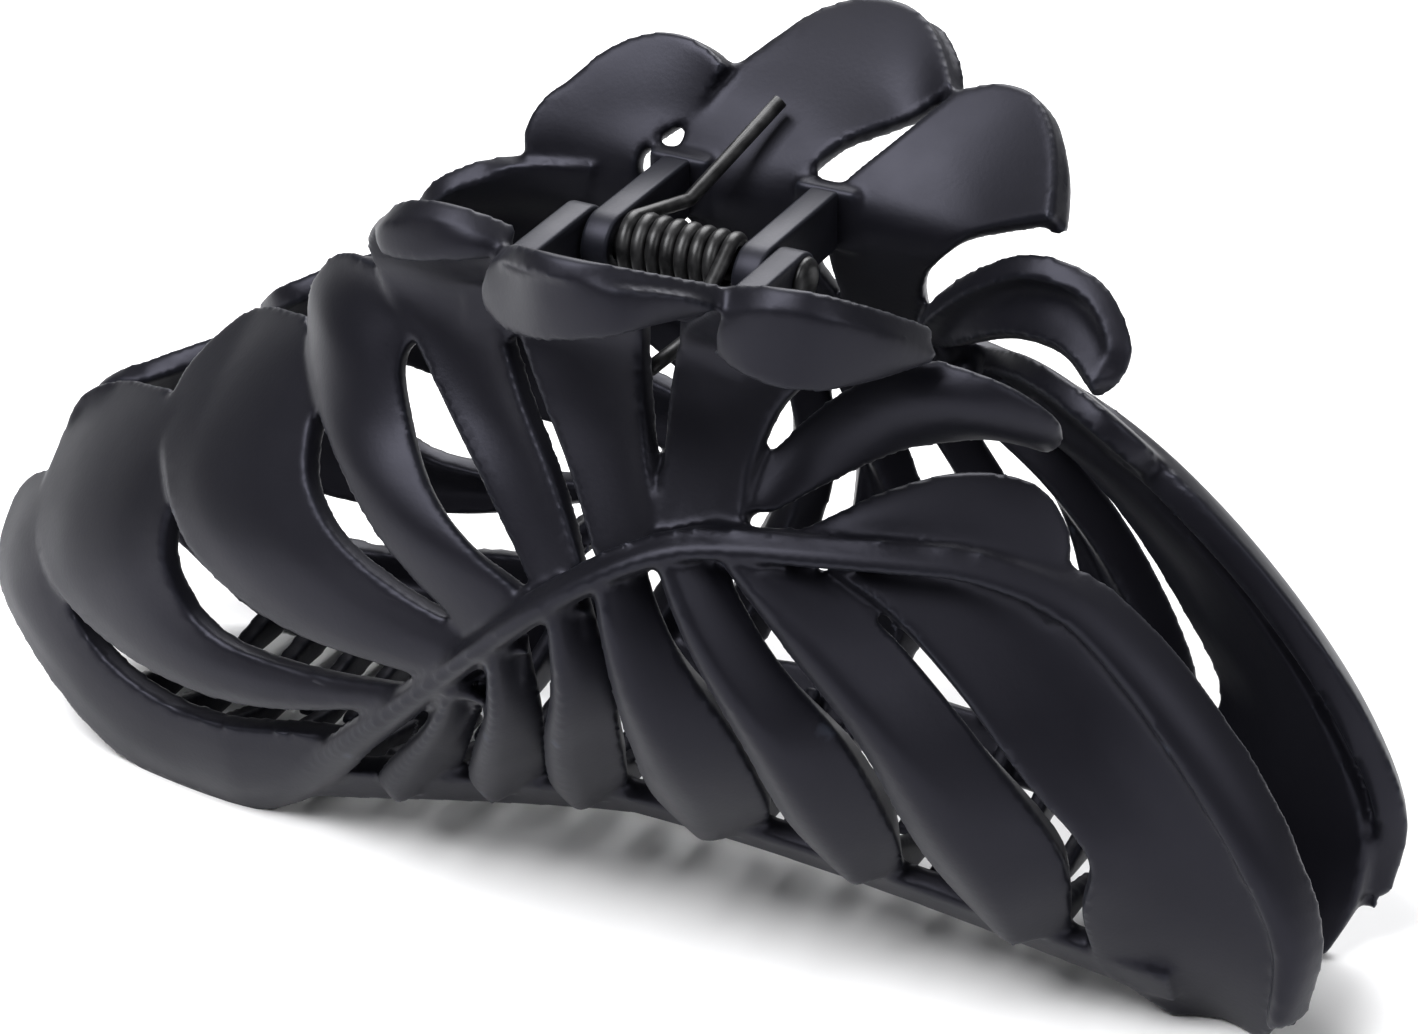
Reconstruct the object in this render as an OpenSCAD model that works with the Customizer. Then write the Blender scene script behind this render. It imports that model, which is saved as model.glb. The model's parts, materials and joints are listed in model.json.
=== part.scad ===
// Leaf-pattern claw clip: two mirrored jaws, a hinge pin and a torsion spring.
// The hinge axis runs along X. The clip stands on the feet of its jaws, with the
// front jaw towards -Y. Outlines are drawn as [x, z] pairs measured from the
// middle of the hinge pin, and the wall's bulge gives each point its depth.

/* [Jaws] */
// Length of the clip along its hinge axis
clip_length = 130; // [120:1:138]
// Height of the hinge pin above the surface that the clip stands on
hinge_height = 56; // [54:0.5:56.5]
// Thickness of the jaw wall, leaves and scoops
wall = 2.2; // [1.8:0.1:2.6]
// How far the wall stands out from the clip's middle plane at its fullest
bulge = 23; // [22:0.5:24]

/* [Comb] */
// Number of teeth on each jaw
tooth_count = 22; // [16:1:22]
// Distance between two teeth of one jaw
tooth_pitch = 4.6; // [4.4:0.1:4.8]
// Thickness of a tooth along the clip
tooth_width = 1.6; // [1.2:0.1:1.7]
// How far a tooth reaches past the middle plane
tooth_reach = 2; // [1:0.5:3]

/* [Hinge] */
// Diameter of the hinge pin
pin_d = 2.6; // [2.4:0.1:2.8]
// Radial gap between the pin and the lugs that turn on it
pin_gap = 0.06; // [0.04:0.01:0.1]
// Thickness of each hinge lug
lug_width = 2.5; // [2:0.1:2.5]
// Distance between the outer faces of the outer lugs
lug_span = 22; // [22:0.5:24]
// Radius of a lug's rounded end
lug_r = 2.8; // [2.6:0.1:3]

/* [Spring] */
// Diameter of the spring wire
wire_d = 1.3; // [1.1:0.05:1.3]
// Number of turns in the spring's coil
turns = 7; // [5:1:7]
// Radius from the pin's axis to the middle of the wire
coil_r = 2.25; // [2.2:0.05:2.4]

/* [Hidden] */

$fn = 48;
centre_shift = 2.2;
arch_radius = 168;
mid_height = -22;
fall_left = 0.0030;
fall_right = 0.0035;
roll_above = 0.030;
roll_above_left = 0.045;
roll_below = 0.018;
roll_below_left = 0.006;
thinnest_dome = 1.5;
min_half_gap = 0.4;
lug_gap = 0.3;
lug_root = 13.9;
lug_foot_w = 5.6;
lug_foot_t = 2;
pin_head_r = 2.1;
pin_head_w = 0.8;
pin_end = 0.4;
curve_steps = 2;
panel_strips = 4;
flat_backing = [0, wall, 0];
flared_backing = [0, wall * 0.9, wall * 0.4];
lip_backing = [0, 1.5, 0.3];
ring_sides = 8;
turn_steps = 14;
turn_pitch = wire_d * 1.04;
coil_half = turns * turn_pitch / 2;
leg_angle = 80;
end_turn = 40;
plastic = [0.10, 0.10, 0.12];
steel = [0.16, 0.16, 0.17];

function clamp(v, low, high) = max(low, min(high, v));
function mix(a, b, t) = a + (b - a) * t;

// Smooth curve through hand-placed points.
function spline(a, b, c, d, t) = 0.5 * (
    2 * b + (c - a) * t + (2 * a - 5 * b + 4 * c - d) * t * t + (3 * b - a - 3 * c + d) * t * t * t
);
function curve(pts, steps) = let (last = len(pts) - 1) [
    for (i = [0 : last - 1], j = [0 : steps - 1])
        spline(pts[max(i - 1, 0)], pts[i], pts[i + 1], pts[min(i + 2, last)], j / steps),
    pts[last]
];

// Depth of the wall's outer face: a dome that is arched along X.
function above_middle(x, z) = z - mid_height + x * x / arch_radius;
function roll_in(x, t) = t > 0
    ? mix(roll_above, roll_above_left, clamp((-x - 25) / 15, 0, 1))
    : mix(roll_below, roll_below_left, clamp(-x / 36, 0, 1));
function dome(x, z) = let (t = above_middle(x, z))
    max(thinnest_dome, bulge - (x > 0 ? fall_right : fall_left) * x * x - roll_in(x, t) * t * t);

// Height of the comb's lower edge along the clip.
function comb_edge(x) = lookup(x, [
    [-52, -52], [-36, -54.5], [-24, -52.5], [-6, -50], [8, -49],
    [24, -49.5], [36, -51], [46, -53], [57, -54.5]
]);

// A leaf, petal or rib: a curved plate between two edges. heights lifts its
// outer face above the wall, from the first edge to the second.
module plate(first_edge, second_edge, heights, thick = wall) {
    a = curve(first_edge, curve_steps);
    b = curve(second_edge, curve_steps);
    across = len(heights) - 1;
    function spot(i, j) = mix(a[i], b[i], j / across);
    function outer(i, j) = let (p = spot(i, j)) [p[0], -dome(p[0], p[1]) - heights[j], p[1]];
    function inner(i, j) = let (p = spot(i, j))
        [p[0], min(-min_half_gap, thick - dome(p[0], p[1])), p[1]];
    turns_right = cross(a[1] - a[0], b[0] - a[0]) < 0;
    loft([
        for (i = [0 : len(a) - 1]) concat(
            [for (j = [0 : across]) outer(i, j)],
            [for (j = [across : -1 : 0]) inner(i, j)]
        )
    ], turns_right);
}

// A scoop or lobe: a curved panel whose rows each hold a left, a middle and a
// right point in [x, y, z]. backing is the way from its outer to its inner face.
module panel(rows, backing) {
    left = curve([for (row = rows) row[0]], curve_steps);
    middle = curve([for (row = rows) row[1]], curve_steps);
    right = curve([for (row = rows) row[2]], curve_steps);
    function spot(i, t) =
        (1 - t) * (1 - 2 * t) * left[i] + 4 * t * (1 - t) * middle[i] + t * (2 * t - 1) * right[i];
    loft([
        for (i = [0 : len(left) - 1]) concat(
            [for (j = [0 : panel_strips]) spot(i, j / panel_strips)],
            [for (j = [panel_strips : -1 : 0]) spot(i, j / panel_strips) + backing]
        )
    ], true);
}

// A closed solid through a row of rings, each with the same number of points.
module loft(rings, inside_out) {
    around = len(rings[0]);
    sides = [
        for (i = [0 : len(rings) - 2], j = [0 : around - 1]) let (
            p = i * around + j,
            q = i * around + (j + 1) % around
        ) each [[p, q, q + around], [p, q + around, p + around]]
    ];
    start_cap = [for (j = [1 : around - 2]) [0, j + 1, j]];
    end = (len(rings) - 1) * around;
    end_cap = [for (j = [1 : around - 2]) [end, end + j, end + j + 1]];
    faces = concat(sides, start_cap, end_cap);
    polyhedron(
        points = [for (ring = rings) each ring],
        faces = inside_out ? [for (f = faces) [f[2], f[1], f[0]]] : faces
    );
}

soft_crown = [0, 0.6, 0.5, 0];
raised_leaf = [0.4, 1.4, 1.3, 0];

// The round-backed rib that sweeps in an S from the left foot to the right end.
module rib() {
    upper = [
        [-44, -53], [-35, -51.5], [-28, -46.5], [-22.5, -41], [-16.5, -35], [-8, -26.5], [-1.5, -20],
        [4.5, -15.6], [10, -12.8], [15, -11.9], [21, -11.7], [28, -12], [35, -12.8], [41.5, -15.2],
        [48, -20.3], [54, -26.8], [59, -34], [62.5, -42.5], [61.5, -50.5]
    ];
    lower = [
        [-43, -56.8], [-34, -56.4], [-26, -50.5], [-20, -43.5], [-14, -37], [-6, -28.2], [1, -21.5],
        [6.5, -17.2], [11, -15.1], [15.3, -14.4], [21, -14.3], [27, -14.4], [33, -15], [39.5, -17.6],
        [45, -22.3], [50.5, -28.8], [55.3, -36], [58.5, -43.5], [58, -52]
    ];
    plate(upper, lower, [0.4, 2.0, 2.0, 0.6], wall + 0.4);
}

// The four smooth petals that overlap like scales on the left.
module petals() {
    plate(
        [
            [-26, -50.5], [-34, -55.2], [-43, -57], [-51, -55.4], [-57, -51], [-62.5, -45.5],
            [-66.5, -41], [-66, -36], [-61.5, -32.5]
        ],
        [
            [-16, -37.5], [-22, -43], [-29, -44.5], [-36, -46], [-43, -46.3], [-49, -44.6],
            [-53, -41.5], [-55.5, -37], [-56, -33]
        ],
        soft_crown
    );
    plate(
        [
            [-17, -37.5], [-30, -41.8], [-40, -42.8], [-48, -41.8], [-55, -39], [-60.5, -34.5],
            [-61.5, -29], [-57.5, -24.5], [-47, -20]
        ],
        [
            [-14.5, -34], [-24.5, -36], [-33, -36.3], [-37.5, -35], [-40, -32], [-41, -29],
            [-41, -26.5], [-40.5, -24], [-40, -20]
        ],
        [0.6, 1.1, 0.9, 0]
    );
    plate(
        [
            [-12, -32], [-26, -31.5], [-35, -28.5], [-42, -24],
            [-46, -19.5], [-43, -14.5], [-38.5, -11.5], [-32, -9]
        ],
        [
            [-7, -26], [-13, -24.7], [-18, -22.8], [-22, -20.5],
            [-25, -17.5], [-26, -15], [-26.5, -12], [-27, -9]
        ],
        [1.0, 1.4, 1.0, 0]
    );
    panel([
        [[-7, -22.8, -27], [-5, -23.4, -23.5], [-2.6, -23, -20.7]],
        [[-16, -22, -20.4], [-11.5, -23, -19], [-7, -22.5, -18.2]],
        [[-22, -19, -15.8], [-17, -21.2, -15.4], [-11.7, -20.8, -15]],
        [[-27.5, -14, -12], [-22, -17.6, -11.5], [-15.8, -17.6, -11]],
        [[-30.8, -9, -7], [-24.5, -14.5, -6.5], [-17.8, -15.4, -6.5]],
        [[-30, -8.2, -4], [-23.5, -12.4, -3], [-16, -14, -3]],
        [[-28, -8.6, -1.8], [-22.5, -12, -1.2], [-15.2, -13.6, -0.6]],
        [[-25.4, -10, -0.5], [-21.5, -12.2, 0], [-15, -13.5, 0.6]]
    ], flat_backing);
}

// The three finger scoops above the rib, flared outwards towards the rim.
module scoops() {
    panel([
        [[-2, -22.3, -20.5], [0.5, -21.8, -19.5], [2, -21, -18]],
        [[-7.5, -19.5, -14.5], [-4.5, -18.6, -13.2], [-1.8, -18.8, -12.5]],
        [[-12.3, -17, -9.5], [-9.3, -15.8, -8.5], [-6, -16.3, -7.5]],
        [[-17, -14.8, -4.5], [-12.8, -14, -3.6], [-8.8, -14.3, -3]],
        [[-21.4, -12.8, -0.4], [-15.8, -13.8, 0.7], [-10.8, -13.8, 1]],
        [[-21.6, -14, 2.8], [-14.6, -16.3, 4.9], [-7.5, -17, 4.2]],
        [[-19.4, -16.2, 5.8], [-12.4, -20, 9.7], [-5.1, -19, 8.6]]
    ], flared_backing);
    panel([
        [[3, -21, -17], [5.7, -20.5, -15.8], [8.7, -20.3, -14.2]],
        [[-0.5, -18.5, -11], [3, -17.4, -10.2], [6.2, -17.8, -9.4]],
        [[-4.5, -16.2, -5.8], [0.3, -15.2, -5.2], [4.6, -15.6, -4.8]],
        [[-7.8, -14.6, -0.5], [-1.5, -14, 0], [3.8, -14.3, 0.3]],
        [[-7.2, -17.2, 4.2], [1, -17.2, 4.4], [6.6, -16.4, 4]],
        [[-5.8, -20.5, 7], [3.5, -23, 8.4], [11.5, -20.5, 6]],
        [[-4.6, -22.6, 9], [5.2, -29, 12.2], [14.9, -21.8, 9]]
    ], flared_backing);
    panel([
        [[8, -20.5, -14.5], [11.5, -19, -13], [15, -18.6, -11.5]],
        [[7.3, -17.2, -8.5], [11, -16.3, -7.8], [14.8, -16.3, -7.2]],
        [[6.7, -15, -3.5], [11.5, -14.4, -3.2], [16, -14.4, -3.2]],
        [[7.2, -14.2, 0.8], [13, -13.8, 0.6], [19, -13, -0.2]],
        [[10.5, -17.3, 4.8], [17.5, -16.8, 4.2], [23.4, -12.4, 1.8]],
        [[15, -21.5, 8.8], [23, -21, 9.6], [28.4, -12, 3.8]]
    ], flared_backing);
}

// The rolled lips that hang from the rims of the three scoops.
module lips() {
    panel([
        [[-18.7, -15.9, 5.9], [-19.1, -16.5, 5.3], [-18.5, -15.8, 4.5]],
        [[-16.4, -19, 8.2], [-16.8, -19.9, 6.5], [-16.5, -19.2, 4.8]],
        [[-11.2, -20.2, 9.6], [-11.6, -21.2, 7.9], [-11.8, -20.8, 6.1]],
        [[-7.6, -20, 9.6], [-7.8, -20.7, 8.2], [-8.2, -20.4, 6.8]],
        [[-5.2, -19.1, 8.7], [-5.4, -19.6, 8], [-6.2, -19.5, 7.2]]
    ], lip_backing);
    panel([
        [[-4.7, -22.8, 9], [-5.6, -23, 6.5], [-5.2, -22.8, 4.2]],
        [[-1.3, -25.4, 10.3], [-2, -26.2, 7.2], [-1.8, -25.6, 4.5]],
        [[3.1, -28.3, 11.6], [3.2, -29.4, 8.6], [3.3, -28.2, 6]],
        [[9, -28.3, 12.2], [9.4, -29.2, 10], [9.2, -28.4, 7.8]],
        [[13.2, -24.8, 10.8], [12.8, -25.8, 9.6], [11.6, -25.6, 8.1]],
        [[14.9, -22, 9.1], [14.6, -22.6, 8.6], [13, -23, 8]]
    ], lip_backing);
    panel([
        [[15, -21.7, 8.8], [14.6, -22.4, 6.7], [14.4, -21.8, 4.4]],
        [[19, -22.5, 9.9], [18.2, -23.6, 6.6], [17.6, -22.8, 3.6]],
        [[23.5, -20.9, 9.5], [22.8, -22.6, 6.5], [21.9, -22, 3.1]],
        [[26.8, -16.6, 7], [26.6, -18, 5], [25.4, -18.2, 2.8]],
        [[28.5, -11.7, 3.6], [28.8, -12.4, 3.2], [28.2, -13, 2.8]]
    ], lip_backing);
}

// The two short leaves that spring from the rib below the third scoop.
module side_leaves() {
    panel([
        [[13.5, -17.5, -10.8], [15.5, -17.6, -11], [17, -17, -11.4]],
        [[16.3, -13.5, -6], [18.5, -14.4, -7.6], [20.5, -13.6, -9.4]],
        [[20.8, -11.6, -1.4], [22.8, -13, -4.2], [24.8, -11, -7]],
        [[26.5, -10.4, 1.8], [27.5, -12.2, -1.8], [28.2, -9.4, -6]],
        [[33, -9.8, 1], [32, -10.8, -2.4], [31.2, -7.6, -5.8]],
        [[37, -7.2, -2.8], [35.6, -7.8, -4.8], [33.4, -5.8, -6.6]],
        [[36.6, -5.6, -6], [35.8, -5.4, -6.8], [34.8, -5, -7.4]]
    ], flat_backing);
    plate(
        [[20, -11.5], [25, -9], [30, -8], [35, -9], [38.3, -11.8], [39.5, -14.5]],
        [[22, -13], [26, -13], [30, -13.6], [34, -14.8], [37, -16.4], [39, -18]],
        [0.4, 0.8, 0.7, 0]
    );
}

// The fan of six lower leaves between the rib and the comb.
module lower_leaves() {
    plate(
        [[-11, -33], [-14.5, -38.5], [-18.5, -43.5], [-21.5, -48], [-20.5, -50.5]],
        [[-7.5, -31], [-9.5, -37], [-12.5, -43], [-15, -47.5], [-17.8, -50.3]],
        raised_leaf
    );
    plate(
        [[-6, -27], [-7.5, -34], [-10.5, -40.5], [-12.5, -45.5], [-11.5, -48.5]],
        [[-3, -25.5], [-3, -33], [-4.5, -40], [-6.5, -45.5], [-9, -48]],
        raised_leaf
    );
    plate(
        [[0, -21.5], [-0.5, -29], [-3, -37], [-4.8, -44.3], [-4, -47.5]],
        [[2.8, -19.8], [4.6, -28], [3.6, -36], [1.8, -43], [-0.5, -47]],
        raised_leaf
    );
    plate(
        [[3.8, -17.2], [5, -25.5], [5.7, -34], [5.6, -42], [7, -47]],
        [[7, -15.8], [11, -24.5], [15, -32.5], [15.8, -41], [13, -46.5]],
        raised_leaf
    );
    plate(
        [[8.5, -15], [12.5, -22.5], [16.5, -31], [19, -40.5], [22, -46.5]],
        [[12.5, -13.8], [18.5, -22], [25, -30.5], [27.5, -39.5], [27, -45.5]],
        raised_leaf
    );
    plate(
        [[12.5, -13.4], [20, -20.5], [26.5, -28.5], [31, -40], [35, -48.5]],
        [[18, -13.2], [28, -19.8], [36, -28.5], [42, -38.5], [41.5, -48]],
        raised_leaf
    );
}

// The broad dished petal that closes the right end, inside the rib.
module end_petal() {
    plate(
        [
            [22, -14.2], [28, -17.5], [34, -23], [39.5, -30],
            [44.5, -37], [43.5, -44], [44.5, -51], [49, -56]
        ],
        [
            [28, -13.6], [37, -16.5], [45, -22], [51.5, -29.5],
            [56.5, -37], [59.5, -44], [59.5, -50.5], [57, -56]
        ],
        [0, -0.3, -0.1, 0.6]
    );
}

// The smooth band under the leaf tips, which carries the comb.
module comb_band() {
    stations = [for (x = [-50 : 10 : 50]) x];
    plate(
        [for (x = stations) [x, comb_edge(x) + 4]],
        [for (x = stations) [x, comb_edge(x)]],
        [-0.4, -0.4]
    );
}

// One comb tooth, tapering inwards past the middle plane.
module tooth(x) {
    low = comb_edge(x);
    root = -dome(x, low) + wall / 2;
    middle = root / 2;
    translate([x - tooth_width / 2, 0, low]) rotate([90, 0, 90]) linear_extrude(tooth_width) polygon([
        [root, 0.2], [middle, -0.6], [tooth_reach, -0.2], [tooth_reach, 0.8], [middle, 2.6], [root, 5]
    ]);
}

module comb(offset_x) {
    comb_band();
    first = -(tooth_count - 1) * tooth_pitch / 2 + offset_x;
    for (i = [0 : tooth_count - 1]) tooth(first + i * tooth_pitch);
}

// Everything of a jaw but its lugs, brought to its length and trimmed level at the feet.
module jaw_shell(offset_x) {
    resize([clip_length, 0, 0]) intersection() {
        union() {
            petals();
            scoops();
            lips();
            side_leaves();
            lower_leaves();
            end_petal();
            rib();
            comb(offset_x);
        }
        translate([-clip_length, -2 * bulge, -hinge_height])
            cube([2 * clip_length, 4 * bulge, 2 * hinge_height]);
    }
}

// A pair of hinge lugs, with their outer faces span apart and a bore for the pin.
module lugs(span, bore_r) {
    for (side = [-1, 1]) translate([side * (span - lug_width) / 2 - lug_width / 2, 0, 0])
        rotate([90, 0, 90]) linear_extrude(lug_width) difference() {
            union() {
                circle(lug_r);
                translate([-lug_root, -lug_r]) square([lug_root, 2 * lug_r]);
            }
            circle(bore_r);
        }
    for (side = [-1, 1]) translate([side * (span - lug_width) / 2 - lug_foot_w / 2, -lug_root, -lug_r])
        cube([lug_foot_w, lug_foot_t, 2 * lug_r]);
}

module front_jaw() {
    color(plastic) translate([centre_shift, 0, hinge_height]) {
        jaw_shell(-tooth_pitch / 4);
        lugs(lug_span, pin_d / 2);
    }
}

module back_jaw() {
    color(plastic) translate([centre_shift, 0, hinge_height]) mirror([0, 1, 0]) {
        jaw_shell(tooth_pitch / 4);
        lugs(lug_span - 2 * (lug_width + lug_gap), pin_d / 2 + pin_gap);
    }
}

module hinge_pin() {
    head_at = lug_span + pin_end;
    color(steel) translate([centre_shift - lug_span / 2 - pin_end, 0, hinge_height]) rotate([0, 90, 0]) {
        cylinder(d = pin_d, h = head_at + pin_head_w);
        translate([0, 0, head_at]) cylinder(r = pin_head_r, h = pin_head_w);
    }
}

// The spring: a close coil around the pin, with one leg held by each jaw.
module torsion_spring() {
    steps = turns * turn_steps;
    coil = [
        for (i = [0 : steps]) let (a = leg_angle + (360 * turns + end_turn) * i / steps)
            [-coil_half + 2 * coil_half * i / steps, coil_r * cos(a), coil_r * sin(a)]
    ];
    back_leg = [[0.8, 16.4, 7.6], [-3.6, 8, 0.9]];
    front_leg = [[4.4, -8, -3.4], [3.2, -12, -4.4]];
    color(steel) translate([centre_shift, 0, hinge_height])
        sweep(concat(back_leg, coil, front_leg), wire_d / 2);
}

// A round wire along a route of points.
module sweep(route, r) {
    n = len(route);
    function unit(v) = v / norm(v);
    function along(i) = unit(route[min(i + 1, n - 1)] - route[max(i - 1, 0)]);
    function side(i) = unit(cross(along(i), [1, 0.01, 0.02]));
    function ring(i) = let (u = side(i), v = cross(along(i), u)) [
        for (j = [0 : ring_sides - 1]) let (a = 360 * j / ring_sides)
            route[i] + r * (u * cos(a) + v * sin(a))
    ];
    loft([for (i = [0 : n - 1]) ring(i)], true);
}

front_jaw();
back_jaw();
hinge_pin();
torsion_spring();
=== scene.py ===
# %% [markdown]
# # A leaf-pattern claw clip
# A claw clip is two mirrored jaws of moulded plastic, a hinge pin, and a torsion spring that
# presses their combs together. Each jaw is one moulding, although it looks like a bunch of
# leaves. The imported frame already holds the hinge, the sizes and the motion, so this lesson
# only gives each piece its true surface and finish.

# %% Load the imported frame
import json
import math

import bmesh
import bpy
from mathutils import Matrix, Vector


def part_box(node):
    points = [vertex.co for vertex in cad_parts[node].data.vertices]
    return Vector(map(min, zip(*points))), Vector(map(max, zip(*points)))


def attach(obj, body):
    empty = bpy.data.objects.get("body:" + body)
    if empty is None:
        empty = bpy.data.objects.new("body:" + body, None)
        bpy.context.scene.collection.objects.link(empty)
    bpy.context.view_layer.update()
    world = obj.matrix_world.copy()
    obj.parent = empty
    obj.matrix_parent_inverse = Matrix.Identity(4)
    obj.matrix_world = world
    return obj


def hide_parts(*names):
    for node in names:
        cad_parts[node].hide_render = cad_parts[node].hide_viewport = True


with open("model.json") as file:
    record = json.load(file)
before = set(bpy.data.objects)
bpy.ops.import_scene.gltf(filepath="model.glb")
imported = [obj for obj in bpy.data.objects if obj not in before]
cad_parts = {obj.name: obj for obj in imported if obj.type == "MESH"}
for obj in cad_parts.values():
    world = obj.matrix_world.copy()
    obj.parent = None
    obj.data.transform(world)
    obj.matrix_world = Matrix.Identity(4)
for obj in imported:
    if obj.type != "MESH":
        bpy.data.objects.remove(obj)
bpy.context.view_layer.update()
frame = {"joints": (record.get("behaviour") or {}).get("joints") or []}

MM = 0.001
hinge = Vector(frame["joints"][0]["pos_m"])

# %% [markdown]
# ## The wall that every leaf lies on
# All the leaves, petals and scoops follow one domed wall. Drawing each of them in space would
# be slow and would never line up. It is easier to draw each outline flat, as seen from the
# front, and to let one formula give the depth. Outlines are in millimetres from the middle of
# the hinge pin: x along the pin, z upwards, and the front jaw towards -y.

# %% The domed wall
WALL = 2.2
BULGE = 23
ARCH_RADIUS = 168
MIDDLE_HEIGHT = -22
THINNEST_DOME = 1.5
FALL_RIGHT = 0.0035
FALL_LEFT = 0.0030
ROLL_ABOVE = 0.030
MORE_ROLL_LEFT = 0.015
ROLL_BELOW = 0.018
LESS_ROLL_LEFT = 0.012


def clamp(value, low, high):
    return max(low, min(high, value))


def dome(x, z):
    """How far the wall's outer face stands out from the clip's middle plane."""
    above = z - MIDDLE_HEIGHT + x * x / ARCH_RADIUS
    if above > 0:
        roll_in = ROLL_ABOVE + MORE_ROLL_LEFT * clamp((-x - 25) / 15, 0, 1)
    else:
        roll_in = ROLL_BELOW - LESS_ROLL_LEFT * clamp(-x / 36, 0, 1)
    fall = FALL_RIGHT if x > 0 else FALL_LEFT
    return max(THINNEST_DOME, BULGE - fall * x * x - roll_in * above * above)


def smooth(points, t):
    """The value at t, from 0 to 1, on a smooth curve through given points or numbers."""
    last = len(points) - 1
    i = min(int(t * last), last - 1)
    s = t * last - i
    a, b, c, d = (points[int(clamp(k, 0, last))] for k in (i - 1, i, i + 1, i + 2))
    if not isinstance(b, (int, float)):
        a, b, c, d = Vector(a), Vector(b), Vector(c), Vector(d)
    squared = (2 * a - 5 * b + 4 * c - d) * s**2
    cubed = (3 * b - a - 3 * c + d) * s**3
    return 0.5 * (2 * b + (c - a) * s + squared + cubed)


print("wall depth at the middle:", round(dome(0, MIDDLE_HEIGHT), 1), "mm")

# %% [markdown]
# ## One way to make every leaf
# A leaf is a thin sheet with a front face, a back face and a rim. A flat grid can be bent onto
# the wall, and Solidify then gives it the wall's thickness. A small bevel rounds the rim. Two
# helpers do this: one for leaves that lie on the wall between two outlines, and one for scoops,
# which leave the wall and need their own points in space.

# %% Leaves and scoops
ALONG = 40
ACROSS = 14
RIM_ANGLE = math.radians(60)
RIM = 0.55
SCOOP_THICK = WALL * 0.85


def add_sheet(bm, shape_at, thick, along=ALONG, rim=RIM):
    """Bends a grid to a shape, gives it thickness on its inner side and rounds its rim."""
    verts = bmesh.ops.create_grid(bm, x_segments=along, y_segments=ACROSS, size=0.5)["verts"]
    for vert in verts:
        vert.co = shape_at(vert.co.x + 0.5, vert.co.y + 0.5)
    faces = list({face for vert in verts for face in vert.link_faces})
    for face in faces:
        face.normal_update()
    if sum(face.normal.y * face.calc_area() for face in faces) > 0:
        bmesh.ops.reverse_faces(bm, faces=faces)
    bmesh.ops.solidify(bm, geom=faces, thickness=thick)
    if rim == 0:
        return
    sheet = {edge for vert in verts for edge in vert.link_edges}
    sheet |= {edge for face in {f for e in sheet for f in e.link_faces} for edge in face.edges}
    rims = [edge for edge in sheet if edge.calc_face_angle(0) > RIM_ANGLE]
    bmesh.ops.bevel(
        bm, geom=rims, offset=rim, segments=3, profile=0.5, affect="EDGES", material=-1,
        clamp_overlap=True,
    )


def add_leaf(bm, first_edge, second_edge, heights, thick=WALL):
    """A leaf on the wall. heights lifts its face above the wall, from one edge to the other."""
    def shape_at(u, v):
        spot = smooth(first_edge, u).lerp(smooth(second_edge, u), v)
        x, z = spot
        return Vector((x, -dome(x, z) - smooth(heights, v), z))
    add_sheet(bm, shape_at, thick)


def show(name, add, *settings):
    """Builds a trial copy of some solids and prints how many faces they have."""
    trial = bmesh.new()
    add(trial, *settings)
    print(name, "before fusing:", len(trial.faces), "faces")
    trial.free()


def add_scoop(bm, rows, thick=SCOOP_THICK):
    """A scoop whose rows each hold a left, a middle and a right point."""
    def shape_at(u, v):
        left, middle, right = (smooth([row[k] for row in rows], u) for k in range(3))
        return (1 - v) * (1 - 2 * v) * left + 4 * v * (1 - v) * middle + v * (2 * v - 1) * right
    add_sheet(bm, shape_at, thick)


print("wall:", WALL, "mm, scoops:", round(SCOOP_THICK, 2), "mm")


# %% [markdown]
# ## The rib
# A round-backed rib sweeps in an S from the left foot, up across the jaw and down to the right
# end. It is the spine that the leaves grow from, so it stands highest above the wall. Its foot
# sinks into the first petal. It is round-backed already, so its rim needs no bevel.

# %% The rib
RIB_UPPER = [
    (-44, -53), (-35, -51.5), (-28, -46.5), (-22.5, -41), (-16.5, -35), (-8, -26.5), (-1.5, -20),
    (4.5, -15.6), (10, -12.8), (15, -11.9), (21, -11.7), (28, -12), (35, -12.8), (41.5, -15.2),
    (48, -20.3), (54, -26.8), (59, -34), (62.5, -42.5), (61.5, -50.5),
]
RIB_LOWER = [
    (-43, -56.8), (-34, -56.4), (-26, -50.5), (-20, -43.5), (-14, -37), (-6, -28.2), (1, -21.5),
    (6.5, -17.2), (11, -15.1), (15.3, -14.4), (21, -14.3), (27, -14.4), (33, -15), (39.5, -17.6),
    (45, -22.3), (50.5, -28.8), (55.3, -36), (58.5, -43.5), (58, -52),
]
RIB_HEIGHTS = [0.2, 1.5, 2.1, 2.2, 2.1, 1.6, 0.2]
RIB_START = 0.2
RIB_SUNK = 0.5
RIB_THICK = WALL + 0.4
RIB_ALONG = 80


def add_rib(bm):
    def shape_at(u, v):
        x, z = smooth(RIB_UPPER, u).lerp(smooth(RIB_LOWER, u), v)
        rise = clamp(u / RIB_START, 0, 1)
        height = smooth(RIB_HEIGHTS, v) * rise - RIB_SUNK * (1 - rise)
        return Vector((x, -dome(x, z) - height, z))
    add_sheet(bm, shape_at, RIB_THICK, RIB_ALONG, rim=0)


show("rib", add_rib)


# %% [markdown]
# ## The four petals on the left
# Each petal covers the root of the next one like a roof tile. They are smooth, slightly crowned
# leaves, and each one stands a little higher than the petal that it overlaps.

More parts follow.
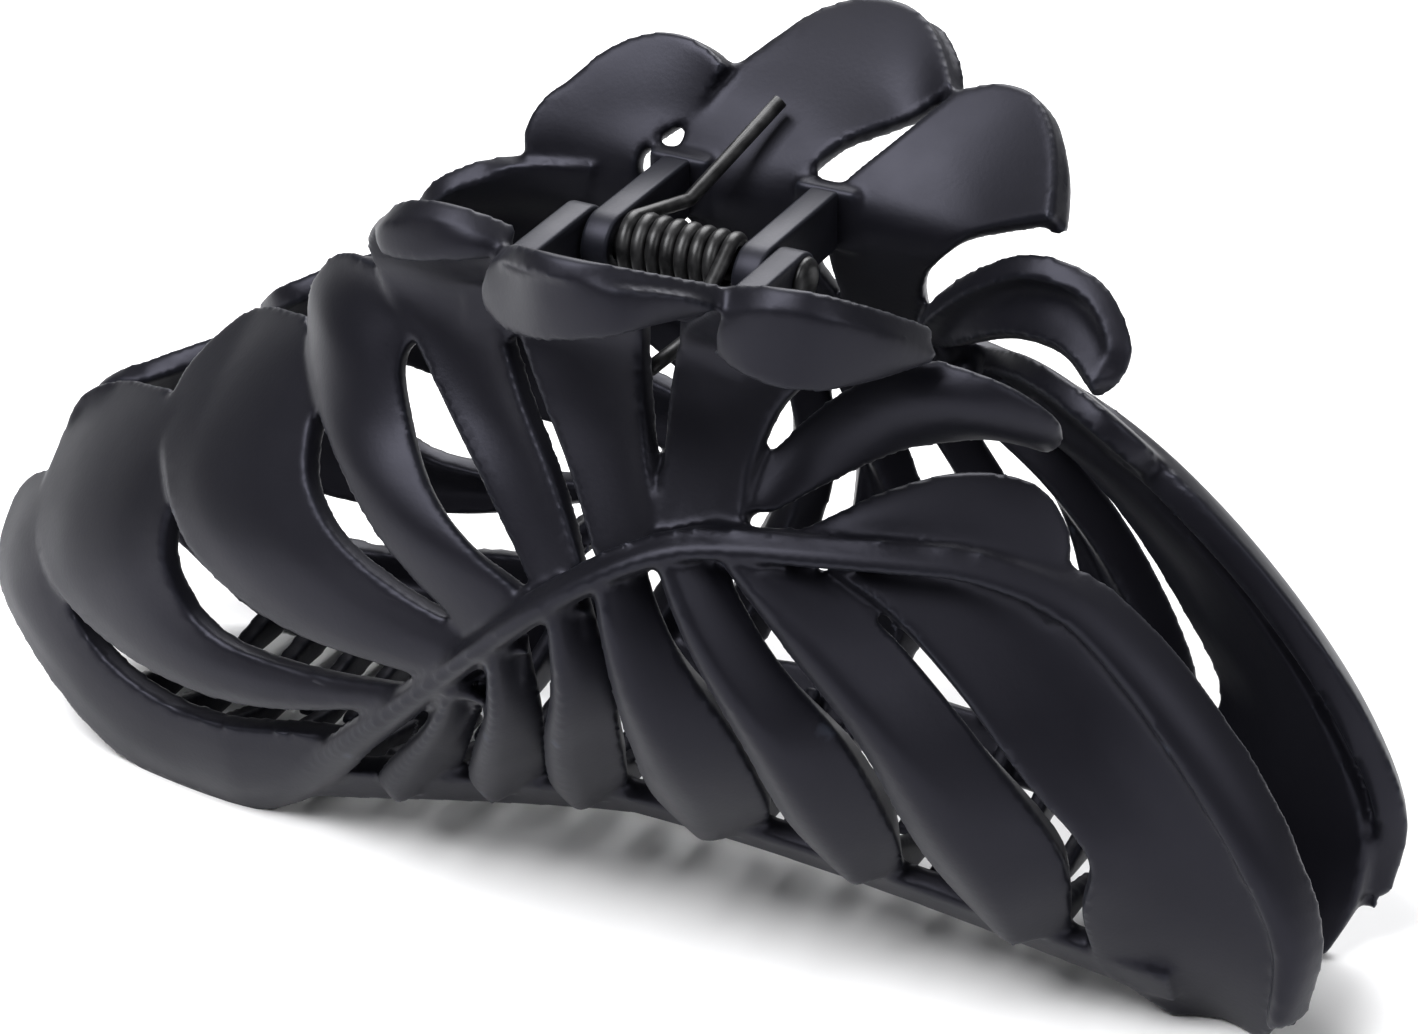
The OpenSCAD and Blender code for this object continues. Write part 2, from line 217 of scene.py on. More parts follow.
# %% The petals
def add_petals(bm):
    add_leaf(
        bm,
        [
            (-26, -50.5), (-34, -55.2), (-43, -57), (-51, -55.4), (-57, -51), (-62.5, -45.5),
            (-66.5, -41), (-66, -36), (-61.5, -32.5),
        ],
        [
            (-16, -37.5), (-22, -43), (-29, -44.5), (-36, -46), (-43, -46.3), (-49, -44.6),
            (-53, -41.5), (-55.5, -37), (-56, -33),
        ],
        [0, 0.6, 0.5, 0],
    )
    add_leaf(
        bm,
        [
            (-17, -37.5), (-30, -41.8), (-40, -42.8), (-48, -41.8), (-55, -39), (-60.5, -34.5),
            (-61.5, -29), (-57.5, -24.5), (-47, -20),
        ],
        [
            (-14.5, -34), (-24.5, -36), (-33, -36.3), (-37.5, -35), (-40, -32), (-41, -29),
            (-41, -26.5), (-40.5, -24), (-40, -20),
        ],
        [0.6, 1.1, 0.9, 0],
    )
    add_leaf(
        bm,
        [
            (-12, -32), (-26, -31.5), (-35, -28.5), (-42, -24),
            (-46, -19.5), (-43, -14.5), (-38.5, -11.5), (-32, -9),
        ],
        [
            (-7, -26), (-13, -24.7), (-18, -22.8), (-22, -20.5),
            (-25, -17.5), (-26, -15), (-26.5, -12), (-27, -9),
        ],
        [1.0, 1.4, 1.0, 0],
    )
    add_scoop(bm, [
        [(-7, -22.8, -27), (-5, -23.4, -23.5), (-2.6, -23, -20.7)],
        [(-16, -22, -20.4), (-11.5, -23, -19), (-7, -22.5, -18.2)],
        [(-22, -19, -15.8), (-17, -21.2, -15.4), (-11.7, -20.8, -15)],
        [(-27.5, -14, -12), (-22, -17.6, -11.5), (-15.8, -17.6, -11)],
        [(-30.8, -9, -7), (-24.5, -14.5, -6.5), (-17.8, -15.4, -6.5)],
        [(-30, -8.2, -4), (-23.5, -12.4, -3), (-16, -14, -3)],
        [(-28, -8.6, -1.8), (-22.5, -12, -1.2), (-15.2, -13.6, -0.6)],
        [(-25.4, -10, -0.5), (-21.5, -12.2, 0), (-15, -13.5, 0.6)],
    ], WALL)


show("petals", add_petals)

# %% [markdown]
# ## The three finger scoops
# The user squeezes these with thumb and fingers. Each is a concave channel that rises from the
# rib and flares outwards at the top, where its rim rolls over into a soft hanging lip.

# %% The scoops and their lips
def add_scoops(bm):
    add_scoop(bm, [
        [(-2, -22.3, -20.5), (0.5, -21.8, -19.5), (2, -21, -18)],
        [(-7.5, -19.5, -14.5), (-4.5, -18.6, -13.2), (-1.8, -18.8, -12.5)],
        [(-12.3, -17, -9.5), (-9.3, -15.8, -8.5), (-6, -16.3, -7.5)],
        [(-17, -14.8, -4.5), (-12.8, -14, -3.6), (-8.8, -14.3, -3)],
        [(-21.4, -12.8, -0.4), (-15.8, -13.8, 0.7), (-10.8, -13.8, 1)],
        [(-21.6, -14, 2.8), (-14.6, -16.3, 4.9), (-7.5, -17, 4.2)],
        [(-19.4, -16.2, 5.8), (-12.4, -20, 9.7), (-5.1, -19, 8.6)],
    ])
    add_scoop(bm, [
        [(3, -21, -17), (5.7, -20.5, -15.8), (8.7, -20.3, -14.2)],
        [(-0.5, -18.5, -11), (3, -17.4, -10.2), (6.2, -17.8, -9.4)],
        [(-4.5, -16.2, -5.8), (0.3, -15.2, -5.2), (4.6, -15.6, -4.8)],
        [(-7.8, -14.6, -0.5), (-1.5, -14, 0), (3.8, -14.3, 0.3)],
        [(-7.2, -17.2, 4.2), (1, -17.2, 4.4), (6.6, -16.4, 4)],
        [(-5.8, -20.5, 7), (3.5, -23, 8.4), (11.5, -20.5, 6)],
        [(-4.6, -22.6, 9), (5.2, -29, 12.2), (14.9, -21.8, 9)],
    ])
    add_scoop(bm, [
        [(8, -20.5, -14.5), (11.5, -19, -13), (15, -18.6, -11.5)],
        [(7.3, -17.2, -8.5), (11, -16.3, -7.8), (14.8, -16.3, -7.2)],
        [(6.7, -15, -3.5), (11.5, -14.4, -3.2), (16, -14.4, -3.2)],
        [(7.2, -14.2, 0.8), (13, -13.8, 0.6), (19, -13, -0.2)],
        [(10.5, -17.3, 4.8), (17.5, -16.8, 4.2), (23.4, -12.4, 1.8)],
        [(15, -21.5, 8.8), (23, -21, 9.6), (28.4, -12, 3.8)],
    ])


LIP = 1.5


def add_lips(bm):
    add_scoop(bm, [
        [(-18.7, -15.9, 5.9), (-19.1, -16.5, 5.3), (-18.5, -15.8, 4.5)],
        [(-16.4, -19, 8.2), (-16.8, -19.2, 6.5), (-16.5, -19.2, 4.8)],
        [(-11.2, -20.2, 9.6), (-11.6, -20.6, 7.9), (-11.8, -20.8, 6.1)],
        [(-7.6, -20, 9.6), (-7.8, -20.7, 8.2), (-8.2, -20.4, 6.8)],
        [(-5.2, -19.1, 8.7), (-5.4, -19.6, 8), (-6.2, -19.5, 7.2)],
    ], LIP)
    add_scoop(bm, [
        [(-4.7, -22.8, 9), (-5.6, -23, 6.5), (-5.2, -22.8, 4.2)],
        [(-1.3, -25.4, 10.3), (-2, -25.4, 7.2), (-1.8, -25.6, 4.5)],
        [(3.1, -28.3, 11.6), (3.2, -28.4, 8.6), (3.3, -28.2, 6)],
        [(9, -28.3, 12.2), (9.4, -28.5, 10), (9.2, -28.4, 7.8)],
        [(13.2, -24.8, 10.8), (12.8, -25.2, 9.6), (11.6, -25.6, 8.1)],
        [(14.9, -22, 9.1), (14.6, -22.6, 8.6), (13, -23, 8)],
    ], LIP)
    add_scoop(bm, [
        [(15, -21.7, 8.8), (14.6, -22.4, 6.7), (14.4, -21.8, 4.4)],
        [(19, -22.5, 9.9), (18.2, -22.7, 6.6), (17.6, -22.8, 3.6)],
        [(23.5, -20.9, 9.5), (22.8, -21.5, 6.5), (21.9, -22, 3.1)],
        [(26.8, -16.6, 7), (26.6, -17.4, 5), (25.4, -18.2, 2.8)],
        [(28.5, -11.7, 3.6), (28.8, -12.4, 3.2), (28.2, -13, 2.8)],
    ], LIP)


show("scoops", add_scoops)
show("lips", add_lips)

# %% [markdown]
# ## Leaves on the right and below
# Two short leaves spring from the rib beside the last scoop. Under the rib a fan of six leaves
# runs down to the comb: each has a broad face that catches the light and a narrow flank that
# drops away from a soft crease. A broad dished petal closes the right end.

# %% The other leaves
RAISED = [0.2, 1.1, 1.7, 1.5, 0.3, -0.9, -1.8]
LEAF_THICK = 3.6


def add_side_leaves(bm):
    add_scoop(bm, [
        [(13.5, -17.5, -10.8), (15.5, -17.6, -11), (17, -17, -11.4)],
        [(16.3, -13.5, -6), (18.5, -14.4, -7.6), (20.5, -13.6, -9.4)],
        [(20.8, -11.6, -1.4), (22.8, -13, -4.2), (24.8, -11, -7)],
        [(26.5, -10.4, 1.8), (27.5, -12.2, -1.8), (28.2, -9.4, -6)],
        [(33, -9.8, 1), (32, -10.8, -2.4), (31.2, -7.6, -5.8)],
        [(37, -7.2, -2.8), (35.6, -7.8, -4.8), (33.4, -5.8, -6.6)],
        [(36.6, -5.6, -6), (35.8, -5.4, -6.8), (34.8, -5, -7.4)],
    ], WALL)
    add_leaf(
        bm,
        [(20, -11.5), (25, -9), (30, -8), (35, -9), (38.3, -11.8), (39.5, -14.5)],
        [(22, -13), (26, -13), (30, -13.6), (34, -14.8), (37, -16.4), (39, -18)],
        [0.4, 0.8, 0.7, 0],
    )


LOWER_LEAVES = [
    ([(-11, -33), (-14.5, -38.5), (-18.5, -43.5), (-21.5, -48), (-20.5, -50.5)],
     [(-7.5, -31), (-9.5, -37), (-12.5, -43), (-15, -47.5), (-17.8, -50.3)]),
    ([(-6, -27), (-7.5, -34), (-10.5, -40.5), (-12.5, -45.5), (-11.5, -48.5)],
     [(-3, -25.5), (-3, -33), (-4.5, -40), (-6.5, -45.5), (-9, -48)]),
    ([(0, -21.5), (-0.5, -29), (-3, -37), (-4.8, -44.3), (-4, -47.5)],
     [(2.8, -19.8), (4.6, -28), (3.6, -36), (1.8, -43), (-0.5, -47)]),
    ([(3.8, -17.2), (5, -25.5), (5.7, -34), (5.6, -42), (7, -47)],
     [(7, -15.8), (11, -24.5), (15, -32.5), (15.8, -41), (13, -46.5)]),
    ([(8.5, -15), (12.5, -22.5), (16.5, -31), (19, -40.5), (22, -46.5)],
     [(12.5, -13.8), (18.5, -22), (25, -30.5), (27.5, -39.5), (27, -45.5)]),
    ([(12.5, -13.4), (20, -20.5), (26.5, -28.5), (31, -40), (35, -48.5)],
     [(18, -13.2), (28, -19.8), (36, -28.5), (42, -38.5), (41.5, -48)]),
]


def add_lower_leaves(bm):
    for first_edge, second_edge in LOWER_LEAVES:
        add_leaf(bm, first_edge, second_edge, RAISED, LEAF_THICK)
    add_leaf(
        bm,
        [
            (22, -14.2), (28, -17.5), (34, -23), (39.5, -30),
            (44.5, -37), (43.5, -44), (44.5, -51), (49, -56),
        ],
        [
            (28, -13.6), (37, -16.5), (45, -22), (51.5, -29.5),
            (56.5, -37), (59.5, -44), (59.5, -50.5), (57, -56),
        ],
        [-0.2, -1.2, -1.8, -1.4, -0.4],
    )


show("side leaves", add_side_leaves)
show("lower leaves", add_lower_leaves)

# %% [markdown]
# ## The comb
# A smooth band under the leaf tips carries the teeth. The teeth curve inwards past the middle
# plane, and the two jaws' teeth are half a pitch apart, so that they pass between each other.
# One tooth is an outline seen from the end of the clip, extruded to its width.

# %% The comb
TEETH = 22
PITCH = 4.6
TOOTH_WIDTH = 1.6
REACH = 2
COMB_EDGE = [
    (-52, -52), (-36, -54.5), (-24, -52.5), (-6, -50), (8, -49),
    (24, -49.5), (36, -51), (46, -53), (57, -54.5),
]
BAND_HEIGHT = 4
BAND_SUNK = [-0.4, -0.4]


def comb_edge(x):
    """Height of the comb's lower edge."""
    for (x0, z0), (x1, z1) in zip(COMB_EDGE, COMB_EDGE[1:]):
        if x <= x1:
            return z0 + (z1 - z0) * (x - x0) / (x1 - x0)
    return COMB_EDGE[-1][1]


def add_tooth(bm, x):
    low = comb_edge(x)
    root = -dome(x, low) + WALL / 2
    outline = [
        (root, 0.2), (root / 2, -0.6), (REACH, -0.2),
        (REACH, 0.8), (root / 2, 2.6), (root, 5),
    ]
    corners = [bm.verts.new((x - TOOTH_WIDTH / 2, y, low + z)) for y, z in outline]
    side = bm.faces.new(corners)
    grown = bmesh.ops.extrude_face_region(bm, geom=[side])["geom"]
    far_side = [g for g in grown if isinstance(g, bmesh.types.BMVert)]
    bmesh.ops.translate(bm, vec=(TOOTH_WIDTH, 0, 0), verts=far_side)


def add_comb(bm, offset):
    stations = range(-50, 51, 10)
    add_leaf(
        bm,
        [(x, comb_edge(x) + BAND_HEIGHT) for x in stations],
        [(x, comb_edge(x)) for x in stations],
        BAND_SUNK,
    )
    first = -(TEETH - 1) * PITCH / 2 + offset
    for i in range(TEETH):
        add_tooth(bm, first + i * PITCH)


show("comb", add_comb, 0)

# %% [markdown]
# ## Fusing a jaw into one moulding
# The leaves so far only overlap. A voxel remesh turns them into one closed skin, and a few
# smoothing passes give every edge and every corner between leaves the small radius that a mould
# leaves. Decimate then halves the faces, because smooth leaves don't need so many. The skin is
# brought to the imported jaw's own box later, so its size can't drift.

# %% Fuse the leaves
VOXEL = 0.38
KEPT = 0.5
SMOOTHING = 7


def fused(bm, name):
    """One closed, softly rounded skin from overlapping solids, still in millimetres."""
    mesh = bpy.data.meshes.new(name)
    bm.to_mesh(mesh)
    bm.free()
    rough = bpy.data.objects.new(name + "_rough", mesh)
    bpy.context.scene.collection.objects.link(rough)
    remesh = rough.modifiers.new("fuse", "REMESH")
    remesh.mode = "VOXEL"
    remesh.voxel_size = VOXEL
    soften = rough.modifiers.new("soften", "SMOOTH")
    soften.factor = 0.5
    soften.iterations = SMOOTHING
    thin_out = rough.modifiers.new("thin_out", "DECIMATE")
    thin_out.ratio = KEPT
    evaluated = rough.evaluated_get(bpy.context.evaluated_depsgraph_get())
    skin = bpy.data.meshes.new_from_object(evaluated)
    bpy.data.objects.remove(rough)
    return skin


print("voxel:", VOXEL, "mm, smoothing passes:", SMOOTHING)


# %% [markdown]
# ## Hinge lugs
# Each jaw carries two flat lugs that turn on the pin: the front jaw's pair lies outside and the
# back jaw's pair inside. A lug is a bar with a round end and a true bore. It is made as a ring of
# faces between two circles, whose back half is drawn out into the bar, and then extruded. A pad
# at its root, fused with the leaves, joins it to a scoop's stem.

# %% A lug
LUG_R = 2.8
LUG_WIDTH = 2.5
LUG_ROOT = 13.9
FOOT = (5.6, 2, 5.6)
LUG_SPAN = 22
LUG_GAP = 0.3
PIN_R = 1.3
PIN_GAP = 0.06
LUG_BEVEL = 0.35
LUG_SEGMENTS = 48


def add_lug(bm, x, bore_r):
    rings = []
    for radius in (LUG_R, bore_r):
        verts = bmesh.ops.create_circle(bm, segments=LUG_SEGMENTS, radius=radius)["verts"]
        bmesh.ops.rotate(bm, verts=verts, matrix=Matrix.Rotation(math.pi / 2, 3, "Y"))
        rings.append(verts)
    for vert in rings[0]:
        if vert.co.y < -0.001:
            vert.co.y -= LUG_ROOT - LUG_R
    edges = [edge for verts in rings for edge in {e for v in verts for e in v.link_edges}]
    ring = bmesh.ops.bridge_loops(bm, edges=edges)["faces"]
    grown = bmesh.ops.extrude_face_region(bm, geom=ring)["geom"]
    far_side = [g for g in grown if isinstance(g, bmesh.types.BMVert)]
    near_side = rings[0] + rings[1]
    bmesh.ops.translate(bm, vec=(x - LUG_WIDTH / 2, 0, 0), verts=near_side)
    bmesh.ops.translate(bm, vec=(x + LUG_WIDTH / 2, 0, 0), verts=far_side)
    edges = [
        e for e in {e for v in near_side + far_side for e in v.link_edges}
        if len(e.link_faces) == 2 and e.calc_face_angle(0) > 1
        and abs(e.verts[0].co.x - e.verts[1].co.x) < 0.01
    ]
    bmesh.ops.bevel(
        bm, geom=edges, offset=LUG_BEVEL, segments=3, profile=0.5, affect="EDGES", material=-1
    )


def add_lugs(bm, span, bore_r):
    for side in (-1, 1):
        add_lug(bm, side * (span - LUG_WIDTH) / 2, bore_r)


def add_lug_feet(bm, span):
    """The pads that join the lugs to the stems of the scoops, fused with the leaves."""
    for side in (-1, 1):
        middle = (side * (span - LUG_WIDTH) / 2, FOOT[1] / 2 - LUG_ROOT, 0)
        shape = Matrix.Translation(middle) @ Matrix.Diagonal((*FOOT, 1))
        bmesh.ops.create_cube(bm, size=1, matrix=shape)


show("lugs", add_lugs, LUG_SPAN, PIN_R)

# %% [markdown]
# ## Soft-touch plastic
# The clip is black plastic with a soft-touch coat: broad dull highlights with a cool tint, fine
# grain, and a painted highlight that makes its edges a little lighter. Two noise patterns drive
# the roughness and the bump, and the pointiness of the surface finds the edges that get it.

# %% The plastic's material
def node(tree, kind, **settings):
    made = tree.nodes.new(kind)
    for key, value in settings.items():
        setattr(made, key, value)
    return made


def soft_touch_plastic():
    material = bpy.data.materials.new("soft_touch_black")
    material.use_nodes = True
    tree = material.node_tree
    shader = tree.nodes["Principled BSDF"]
    place = node(tree, "ShaderNodeTexCoord")
    cloudy = node(tree, "ShaderNodeTexNoise")
    cloudy.inputs["Scale"].default_value = 90
    cloudy.inputs["Detail"].default_value = 4
    grain = node(tree, "ShaderNodeTexNoise")
    grain.inputs["Scale"].default_value = 2600
    grain.inputs["Detail"].default_value = 3
    tree.links.new(place.outputs["Object"], cloudy.inputs["Vector"])
    tree.links.new(place.outputs["Object"], grain.inputs["Vector"])
    rough = node(tree, "ShaderNodeMapRange")
    rough.inputs["From Min"].default_value = 0.3
    rough.inputs["From Max"].default_value = 0.7
    rough.inputs["To Min"].default_value = 0.38
    rough.inputs["To Max"].default_value = 0.50
    tree.links.new(cloudy.outputs["Fac"], rough.inputs["Value"])
    tree.links.new(rough.outputs["Result"], shader.inputs["Roughness"])
    shape = node(tree, "ShaderNodeNewGeometry")
    # Painted highlight: a lighter, cooler base colour on pointy edges stands in for the light that
    # the rims catch.
    edges = node(tree, "ShaderNodeValToRGB")
    edges.color_ramp.elements[0].position = 0.52
    edges.color_ramp.elements[0].color = (0.0030, 0.0029, 0.0044, 1)
    edges.color_ramp.elements[1].position = 0.66
    edges.color_ramp.elements[1].color = (0.020, 0.023, 0.032, 1)
    tree.links.new(shape.outputs["Pointiness"], edges.inputs["Fac"])
    tree.links.new(edges.outputs["Color"], shader.inputs["Base Color"])
    bump = node(tree, "ShaderNodeBump")
    bump.inputs["Strength"].default_value = 0.12
    bump.inputs["Distance"].default_value = 0.00008
    tree.links.new(grain.outputs["Fac"], bump.inputs["Height"])
    tree.links.new(bump.outputs["Normal"], shader.inputs["Normal"])
    shader.inputs["Specular IOR Level"].default_value = 0.26
    shader.inputs["Specular Tint"].default_value = (0.80, 0.80, 1.0, 1)
    shader.inputs["Sheen Weight"].default_value = 0.02
    shader.inputs["Sheen Tint"].default_value = (0.75, 0.8, 1.0, 1)
    return material


plastic = soft_touch_plastic()
print(plastic.name, "has", len(plastic.node_tree.nodes), "nodes")


# %% The spring steel's material
def blackened_steel():
    material = bpy.data.materials.new("blackened_steel")
    material.use_nodes = True
    tree = material.node_tree
    shader = tree.nodes["Principled BSDF"]
    place = node(tree, "ShaderNodeTexCoord")
    worn = node(tree, "ShaderNodeTexNoise")
    worn.inputs["Scale"].default_value = 700
    worn.inputs["Detail"].default_value = 5
    tree.links.new(place.outputs["Object"], worn.inputs["Vector"])
    tone = node(tree, "ShaderNodeValToRGB")
    tone.color_ramp.elements[0].position = 0.35
    tone.color_ramp.elements[0].color = (0.012, 0.012, 0.013, 1)
    tone.color_ramp.elements[1].position = 0.75
    tone.color_ramp.elements[1].color = (0.05, 0.05, 0.052, 1)
    tree.links.new(worn.outputs["Fac"], tone.inputs["Fac"])
    tree.links.new(tone.outputs["Color"], shader.inputs["Base Color"])
    rough = node(tree, "ShaderNodeMapRange")
    rough.inputs["To Min"].default_value = 0.28
    rough.inputs["To Max"].default_value = 0.5
    tree.links.new(worn.outputs["Fac"], rough.inputs["Value"])
    tree.links.new(rough.outputs["Result"], shader.inputs["Roughness"])
    shader.inputs["Metallic"].default_value = 0.6
    return material


steel = blackened_steel()
print(steel.name, "has", len(steel.node_tree.nodes), "nodes")


# %% [markdown]
# ## Two jaws from one pattern
# The back jaw is the front jaw mirrored in the middle plane. Only its comb is shifted half a
# pitch and its lugs sit closer together, so both jaws are built by the same function.

# %% The jaws
def fit_to(mesh, cad_node):
    """Scales the mesh so that its box is the CAD node's box."""
    low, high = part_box(cad_node)
    mine = [Vector(map(pick, zip(*(v.co for v in mesh.vertices)))) for pick in (min, max)]
    scale = [(high[k] - low[k]) / (mine[1][k] - mine[0][k]) for k in range(3)]
    for vert in mesh.vertices:
        vert.co = Vector(low[k] + (vert.co[k] - mine[0][k]) * scale[k] for k in range(3))
    return scale


def make_piece(mesh, name, body, slot, material, *nodes):
    piece = bpy.data.objects.new(name, mesh)
    bpy.context.scene.collection.objects.link(piece)
    mesh.materials.clear()
    mesh.materials.append(material)
    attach(piece, body)
    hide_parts(*nodes)
    return piece


def level_feet(bm):
    """Cuts the feet flat at the height of the surface that the clip stands on."""
    everything = bm.verts[:] + bm.edges[:] + bm.faces[:]
    ground = Vector((0, 0, -hinge.z / MM))
    bmesh.ops.bisect_plane(
        bm, geom=everything, plane_co=ground, plane_no=(0, 0, -1), clear_outer=True
    )
    bmesh.ops.holes_fill(bm, edges=[edge for edge in bm.edges if edge.is_boundary], sides=0)


def make_jaw(name, body, cad_node, comb_offset, lug_span, bore_r, turned):
    bm = bmesh.new()
    add_rib(bm)
    add_petals(bm)
    add_scoops(bm)
    add_lips(bm)
    add_side_leaves(bm)
    add_lower_leaves(bm)
    add_comb(bm, comb_offset)
    add_lug_feet(bm, lug_span)
    bmesh.ops.recalc_face_normals(bm, faces=bm.faces)
    skin = fused(bm, name)
    bm = bmesh.new()
    bm.from_mesh(skin)
    level_feet(bm)
    add_lugs(bm, lug_span, bore_r)
    if turned:
        bmesh.ops.scale(bm, vec=(1, -1, 1), verts=bm.verts)
    bmesh.ops.scale(bm, vec=(MM, MM, MM), verts=bm.verts)
    bmesh.ops.translate(bm, vec=hinge, verts=bm.verts)
    bmesh.ops.recalc_face_normals(bm, faces=bm.faces)
    bm.to_mesh(skin)
    bm.free()
    scale = fit_to(skin, cad_node)
    skin.shade_smooth()
    print(name, len(skin.polygons), "faces, scaled by", [round(s, 4) for s in scale])
    make_piece(skin, name, body, "plastic", plastic, cad_node)


inner_span = LUG_SPAN - 2 * (LUG_WIDTH + LUG_GAP)
running_bore = PIN_R + PIN_GAP
make_jaw("front_jaw_shell", "front", "front_jaw", -PITCH / 4, LUG_SPAN, PIN_R, False)
make_jaw("back_jaw_shell", "back", "back_jaw", PITCH / 4, inner_span, running_bore, True)


# %% [markdown]
# ## The hinge pin
# A plain steel pin with a small round head on its right. Its profile, spun about the hinge axis,
# gives the rounded head and the rounded far end in one step.

# %% The pin
PIN_HEAD = 0.8
PIN_SOFT = 0.3
PIN_SEGMENTS = 48


def make_pin():
    low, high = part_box("hinge_pin")
    head_r = (high.z - low.z) / 2
    head_at = high.x - PIN_HEAD * MM
    shank_r = PIN_R * MM
    soft = PIN_SOFT * MM
    profile = [
        (low.x, 0), (low.x, shank_r - soft), (low.x + soft, shank_r), (head_at, shank_r),
        (head_at, head_r - soft / 2), (head_at + soft / 2, head_r),
        (high.x - soft, head_r - soft / 3),
        (high.x, head_r * 0.6), (high.x, 0),
    ]
    bm = bmesh.new()
    verts = [bm.verts.new((x, 0, hinge.z + r)) for x, r in profile]
    edges = [bm.edges.new(pair) for pair in zip(verts, verts[1:])]
    bmesh.ops.spin(
        bm, geom=verts + edges, cent=(0, 0, hinge.z), axis=(1, 0, 0), angle=2 * math.pi,
        steps=PIN_SEGMENTS, use_merge=True,
    )
    bmesh.ops.remove_doubles(bm, verts=bm.verts, dist=1e-6)
    bmesh.ops.recalc_face_normals(bm, faces=bm.faces)
    mesh = bpy.data.meshes.new("hinge_pin_turned")
    bm.to_mesh(mesh)
    bm.free()
    mesh.shade_smooth()
    return make_piece(mesh, "hinge_pin_turned", "front", "steel", steel, "hinge_pin")


pin = make_pin()
print("pin:", len(pin.data.polygons), "faces")

# %% [markdown]
# ## The torsion spring
# Seven close turns of wire around the pin. Spin with a step along the axis winds the helix from
# one ring of the wire's section. Its two end faces are then extruded along the legs: one leg runs
# up towards the back jaw's middle scoop, and the other is tucked behind the front jaw's.

# %% The spring
WIRE_R = 0.65
TURNS = 7
TURN_PITCH = 2 * WIRE_R * 1.04
COIL_R = 2.25
LEG_ANGLE = math.radians(80)
END_TURN = math.radians(40)
STEPS = 30
WIRE_SIDES = 16
BACK_LEG = [(-3.6, 8, 0.9), (0.8, 16.4, 7.6)]
FRONT_LEG = [(4.4, -8, -3.4), (3.2, -12, -4.4)]


def draw_out(bm, face, route):
    """Extrudes the wire's end face to each point of a route, square to the way it goes."""
    for point, beyond in zip(route, route[1:] + [None]):
        grown = bmesh.ops.extrude_face_region(bm, geom=[face])["geom"]
        bmesh.ops.delete(bm, geom=[face], context="FACES_ONLY")
        face = next(g for g in grown if isinstance(g, bmesh.types.BMFace))
        face.normal_update()
        centre = face.calc_center_median()
        point = Vector(point)
        way = (point - centre).normalized()
        if beyond is not None:
            way = (way + (Vector(beyond) - point).normalized()).normalized()
        turn = face.normal.rotation_difference(way).to_matrix()
        bmesh.ops.rotate(bm, verts=face.verts, cent=centre, matrix=turn)
        bmesh.ops.translate(bm, verts=face.verts, vec=point - centre)


def make_spring():
    bm = bmesh.new()
    ring = bmesh.ops.create_circle(bm, segments=WIRE_SIDES, radius=WIRE_R, cap_ends=False)["verts"]
    half = TURNS * TURN_PITCH / 2
    bmesh.ops.translate(bm, verts=ring, vec=(-half, COIL_R, 0))
    bmesh.ops.rotate(bm, verts=ring, matrix=Matrix.Rotation(LEG_ANGLE, 3, "X"))
    start = list(ring)
    edges = list({edge for vert in ring for edge in vert.link_edges})
    last = bmesh.ops.spin(
        bm, geom=ring + edges, cent=(0, 0, 0), axis=(1, 0, 0), dvec=(TURN_PITCH / STEPS, 0, 0),
        angle=2 * math.pi * TURNS + END_TURN, steps=STEPS * TURNS, use_merge=False,
    )["geom_last"]
    first_cap = bm.faces.new(start)
    last_cap = bm.faces.new([g for g in last if isinstance(g, bmesh.types.BMVert)])
    bmesh.ops.recalc_face_normals(bm, faces=bm.faces)
    draw_out(bm, first_cap, BACK_LEG)
    draw_out(bm, last_cap, FRONT_LEG)
    bmesh.ops.recalc_face_normals(bm, faces=bm.faces)
    bmesh.ops.scale(bm, vec=(MM, MM, MM), verts=bm.verts)
    bmesh.ops.translate(bm, vec=hinge, verts=bm.verts)
    mesh = bpy.data.meshes.new("torsion_spring_wound")
    bm.to_mesh(mesh)
    bm.free()
    mesh.shade_smooth()
    return make_piece(mesh, "torsion_spring_wound", "front", "steel", steel, "torsion_spring")


spring = make_spring()
print("spring:", len(spring.data.polygons), "faces")

# %% [markdown]
# ## Studio
# Black plastic shows only what it reflects, so the studio matters more than the colour. A pale
# floor and a bright sky light the clip all round, and large soft lamps draw the broad highlights
# on the leaves.

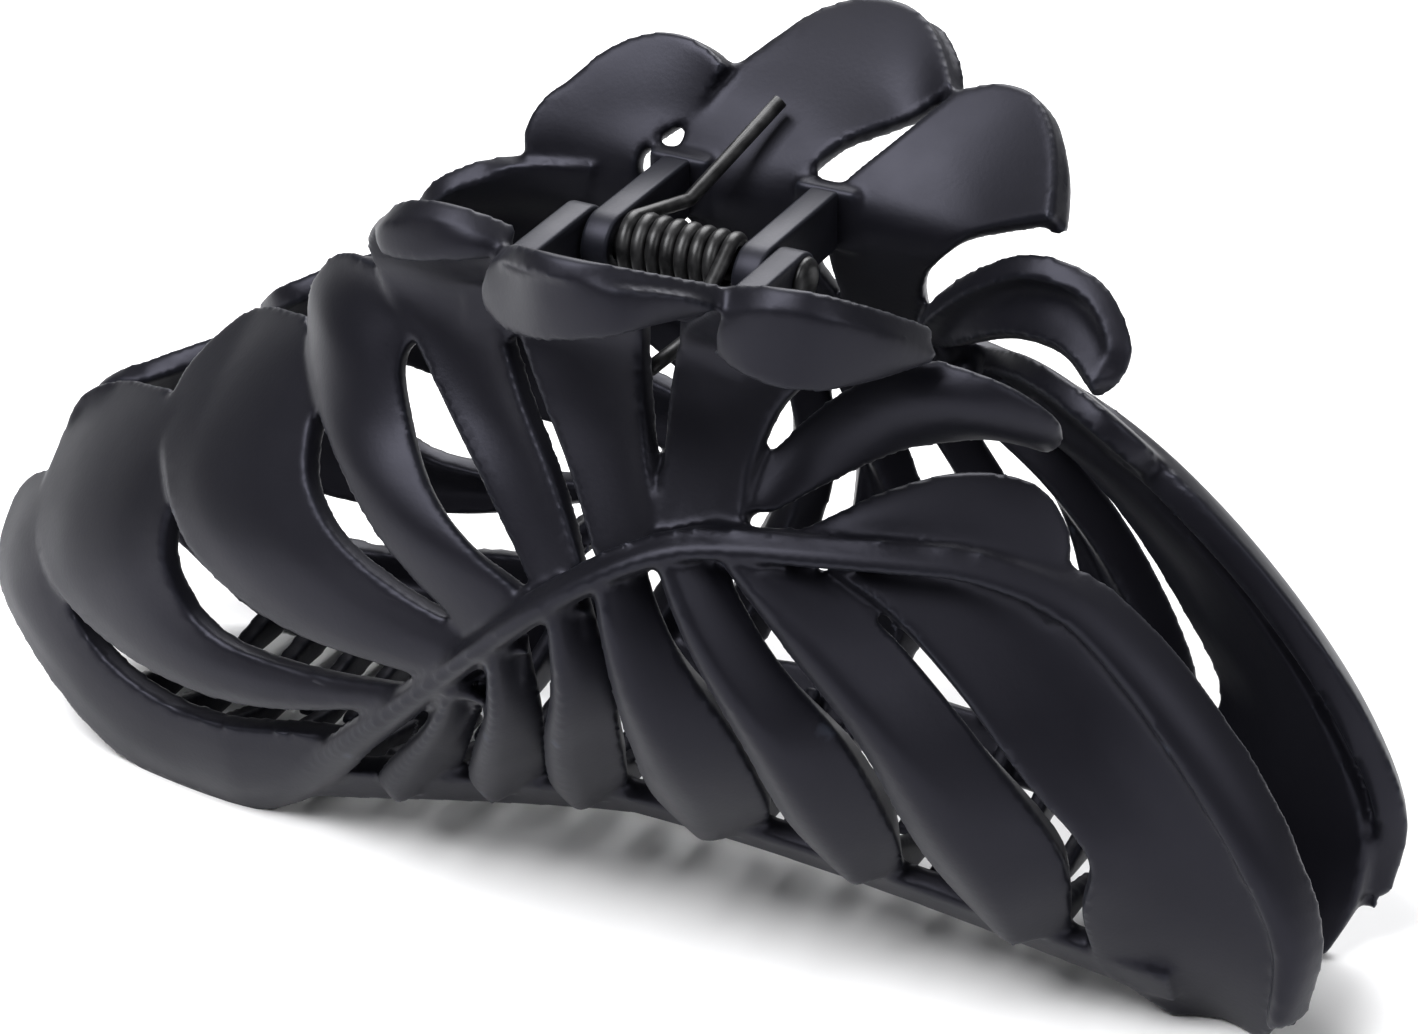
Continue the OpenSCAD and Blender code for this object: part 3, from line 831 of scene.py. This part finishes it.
# %% Floor
def pale_floor():
    bm = bmesh.new()
    bmesh.ops.create_grid(bm, x_segments=8, y_segments=8, size=3)
    mesh = bpy.data.meshes.new("floor")
    bm.to_mesh(mesh)
    bm.free()
    material = bpy.data.materials.new("pale_floor")
    material.use_nodes = True
    shader = material.node_tree.nodes["Principled BSDF"]
    shader.inputs["Base Color"].default_value = (0.93, 0.93, 0.94, 1)
    shader.inputs["Roughness"].default_value = 0.8
    mesh.materials.append(material)
    floor = bpy.data.objects.new("floor", mesh)
    bpy.context.scene.collection.objects.link(floor)


pale_floor()
print("floor: 6 m square")

# %% Lights
TARGET = Vector((0.0046, 0, 0.0318))


def soft_lamp(name, azimuth, elevation, distance, size, power):
    """A square area lamp that faces the clip. Azimuth 0 is in front, along -Y."""
    a, e = math.radians(azimuth), math.radians(elevation)
    away = Vector((math.sin(a) * math.cos(e), -math.cos(a) * math.cos(e), math.sin(e)))
    lamp = bpy.data.lights.new(name, "AREA")
    lamp.shape = "SQUARE"
    lamp.size = size
    lamp.energy = power
    holder = bpy.data.objects.new(name, lamp)
    holder.location = TARGET + away * distance
    holder.rotation_euler = (-away).to_track_quat("-Z", "Y").to_euler()
    bpy.context.scene.collection.objects.link(holder)


soft_lamp("key", -30, 60, 0.7, 0.45, 8)
soft_lamp("fill", 80, 35, 0.8, 0.4, 1.6)
soft_lamp("rim", 195, 42, 0.7, 0.5, 6)
world = bpy.data.worlds.new("studio")
bpy.context.scene.world = world
world.use_nodes = True
world.node_tree.nodes["Background"].inputs["Color"].default_value = (1.0, 1.0, 1.0, 1)
world.node_tree.nodes["Background"].inputs["Strength"].default_value = 0.14
bpy.context.scene.view_settings.view_transform = "Standard"
print("lamps:", len(bpy.data.lights))

# %% Camera
AZIMUTH = 27.19
ELEVATION = 29.0
DISTANCE = 0.3864
LENS = 115.3


def make_camera():
    a, e = math.radians(AZIMUTH), math.radians(ELEVATION)
    back = Vector((math.sin(a) * math.cos(e), -math.cos(a) * math.cos(e), math.sin(e)))
    data = bpy.data.cameras.new("camera")
    data.lens = LENS
    data.sensor_width = 36
    data.clip_start = 0.01
    camera = bpy.data.objects.new("camera", data)
    camera.location = TARGET + back * DISTANCE
    camera.rotation_euler = (-back).to_track_quat("-Z", "Y").to_euler()
    bpy.context.scene.collection.objects.link(camera)
    bpy.context.scene.camera = camera


make_camera()
print("camera:", LENS, "mm lens,", DISTANCE, "m from the clip")
